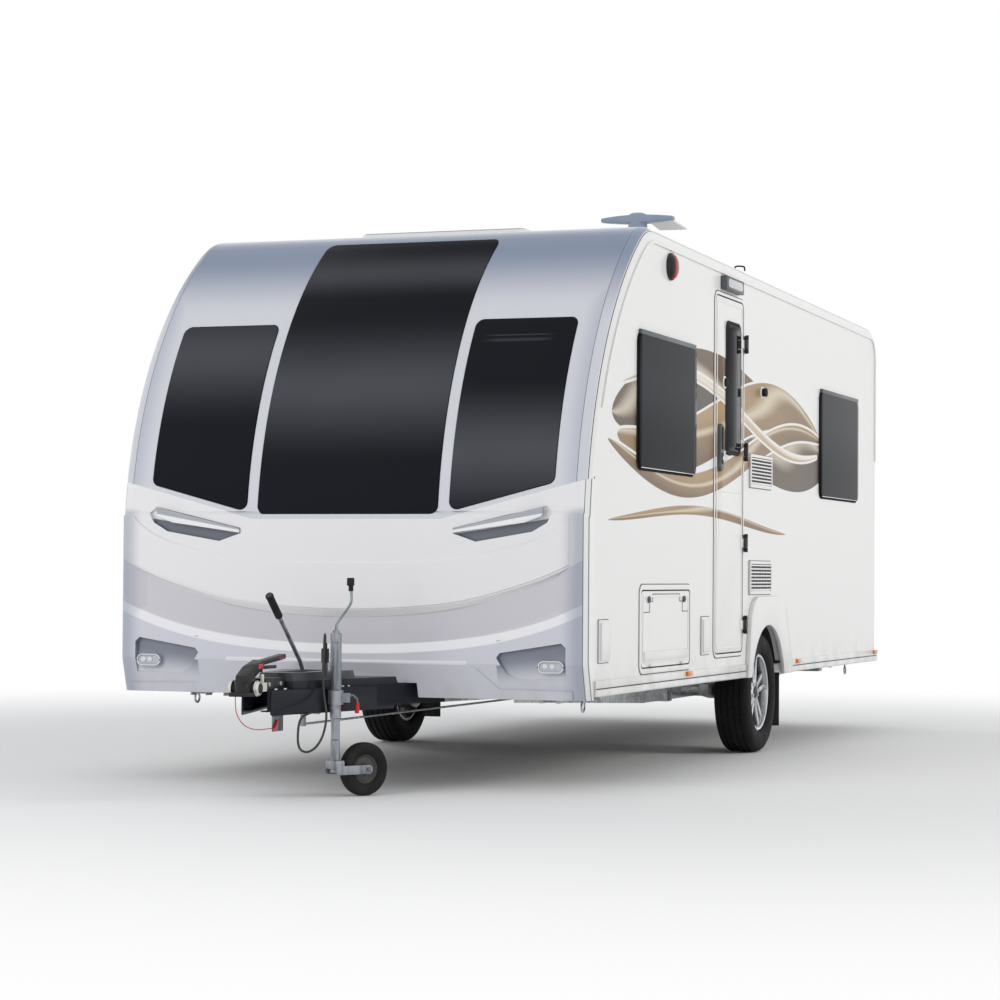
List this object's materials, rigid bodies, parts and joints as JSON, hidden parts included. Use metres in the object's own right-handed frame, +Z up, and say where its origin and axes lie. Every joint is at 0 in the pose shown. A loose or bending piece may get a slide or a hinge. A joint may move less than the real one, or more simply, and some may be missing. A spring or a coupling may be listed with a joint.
{
  "type": "travel caravan",
  "caption": "Single-axle travel caravan with a hollow bonded-panel body, A-frame drawbar, jockey wheel, corner steadies, entrance door and service lids.",
  "frame": {"origin": "on the ground under the middle of the overall length and width", "axes": "+Z up, the coupling end faces -Y, the entrance door is on +X"},
  "size_m": [2.344, 7.2, 2.7781],
  "materials": {
    "body_panel": "white skinned sandwich",
    "front_silver": "metallic silver-blue",
    "moulding": "pale grey gel coat",
    "window": "dark smoked acrylic",
    "galvanised": "galvanised",
    "black_steel": "black coated",
    "black_plastic": "moulded black",
    "tyre": "road tyre",
    "alloy": "silver alloy",
    "iron": "cast",
    "floor_board": "bonded floor",
    "white_plastic": "moulded white",
    "lens_clear": "clear lens",
    "lens_red": "red lens",
    "lens_amber": "amber lens",
    "grey_plastic": "blue-grey moulded",
    "red_sleeve": "red sleeve"
  },
  "bodies": {
    "chassis": {"alarm_beacon": "lens_red", "awning_light": "grey_plastic", "axle": "galvanised", "body_windows": "window", "breakaway_cable": "red_sleeve", "chassis_rails": "galvanised", "coupling_head": "black_steel", "door_hinges": "black_plastic", "drawbar_cover": "black_plastic", "drawbar_frame": "galvanised", "edge_mouldings": "white_plastic", "floor": "floor_board", "floor_brackets": "galvanised", "front_lamps": "lens_clear", "front_panel_lower": "moulding", "front_panel_upper": "front_silver", "grab_handles": "grey_plastic", "handbrake_lever": "black_steel", "jockey_clamp": "galvanised", "lead_plug": "black_plastic", "locker_box": "white_plastic", "mudflaps": "black_plastic", "overrun_housing": "black_steel", "rear_bumper": "moulding", "rear_lamps": "lens_red", "rear_panel": "body_panel", "roof": "white_plastic", "roof_aerial": "grey_plastic", "rooflights": "body_panel", "side_markers": "lens_amber", "side_skirts": "white_plastic", "supply_lead": "black_plastic", "wall_nearside": "body_panel", "wall_offside": "body_panel", "wall_vents": "white_plastic", "wheel_boxes": "black_plastic", "wheel_spats": "white_plastic"},
    "door": {"door_leaf": "body_panel", "door_window": "window", "door_handle": "grey_plastic"},
    "locker_lid": {"locker_door": "body_panel"},
    "cassette_lid": {"cassette_door": "body_panel"},
    "service_lid": {"service_door": "body_panel"},
    "wheel_near": {"tyre_nearside": "tyre", "rim_nearside": "alloy", "drum_nearside": "iron"},
    "wheel_off": {"tyre_offside": "tyre", "rim_offside": "alloy", "drum_offside": "iron"},
    "jockey_slide": {"jockey_tube": "galvanised"},
    "jockey_swivel": {"jockey_fork": "galvanised"},
    "jockey_roller": {"jockey_wheel": "black_plastic"},
    "leg_front_near": {"steady_front_near": "galvanised"},
    "leg_front_off": {"steady_front_off": "galvanised"},
    "leg_rear_near": {"steady_rear_near": "galvanised"},
    "leg_rear_off": {"steady_rear_off": "galvanised"}
  },
  "joints": [
    {"name": "wheel_nearside_spin", "type": "hinge", "parent": "chassis", "child": "wheel_near", "pos_m": [1.03, 0.66, 0.325], "axis": [1, 0, 0], "continuous": true},
    {"name": "wheel_offside_spin", "type": "hinge", "parent": "chassis", "child": "wheel_off", "pos_m": [-1.03, 0.66, 0.325], "axis": [1, 0, 0], "continuous": true},
    {"name": "entrance_door", "type": "hinge", "parent": "chassis", "child": "door", "pos_m": [1.16, 0.173, 1.476], "axis": [0, 0, 1], "range_deg": [0, 165]},
    {"name": "jockey_raise", "type": "slide", "parent": "chassis", "child": "jockey_slide", "axis": [0, 0, 1], "range_m": [0, 0.11]},
    {"name": "jockey_swivel", "type": "hinge", "parent": "jockey_slide", "child": "jockey_swivel", "pos_m": [0.19748, -3.025, 0.15], "axis": [0, 0, 1], "continuous": true},
    {"name": "jockey_wheel_spin", "type": "hinge", "parent": "jockey_swivel", "child": "jockey_roller", "pos_m": [0.27474, -2.89642, 0.115], "axis": [0.8572, -0.515, 0], "continuous": true},
    {"name": "locker_lid", "type": "hinge", "parent": "chassis", "child": "locker_lid", "pos_m": [1.15, -1.255, 0.534], "axis": [0, 1, 0], "range_deg": [0, 90]},
    {"name": "cassette_lid", "type": "hinge", "parent": "chassis", "child": "cassette_lid", "pos_m": [-1.15, 2.6425, 0.572], "axis": [0, -1, 0], "range_deg": [0, 90]},
    {"name": "service_lid", "type": "hinge", "parent": "chassis", "child": "service_lid", "pos_m": [-1.15, 1.49, 0.888], "axis": [0, 1, 0], "range_deg": [0, 85]},
    {"name": "steady_front_near", "type": "hinge", "parent": "chassis", "child": "leg_front_near", "pos_m": [0.87, -2.15, 0.4], "axis": [-1, 0, 0], "range_deg": [0, 52]},
    {"name": "steady_front_off", "type": "hinge", "parent": "chassis", "child": "leg_front_off", "pos_m": [-0.87, -2.15, 0.4], "axis": [-1, 0, 0], "range_deg": [0, 52]},
    {"name": "steady_rear_near", "type": "hinge", "parent": "chassis", "child": "leg_rear_near", "pos_m": [0.87, 3.245, 0.4], "axis": [1, 0, 0], "range_deg": [0, 52]},
    {"name": "steady_rear_off", "type": "hinge", "parent": "chassis", "child": "leg_rear_off", "pos_m": [-0.87, 3.245, 0.4], "axis": [1, 0, 0], "range_deg": [0, 52]}
  ]
}
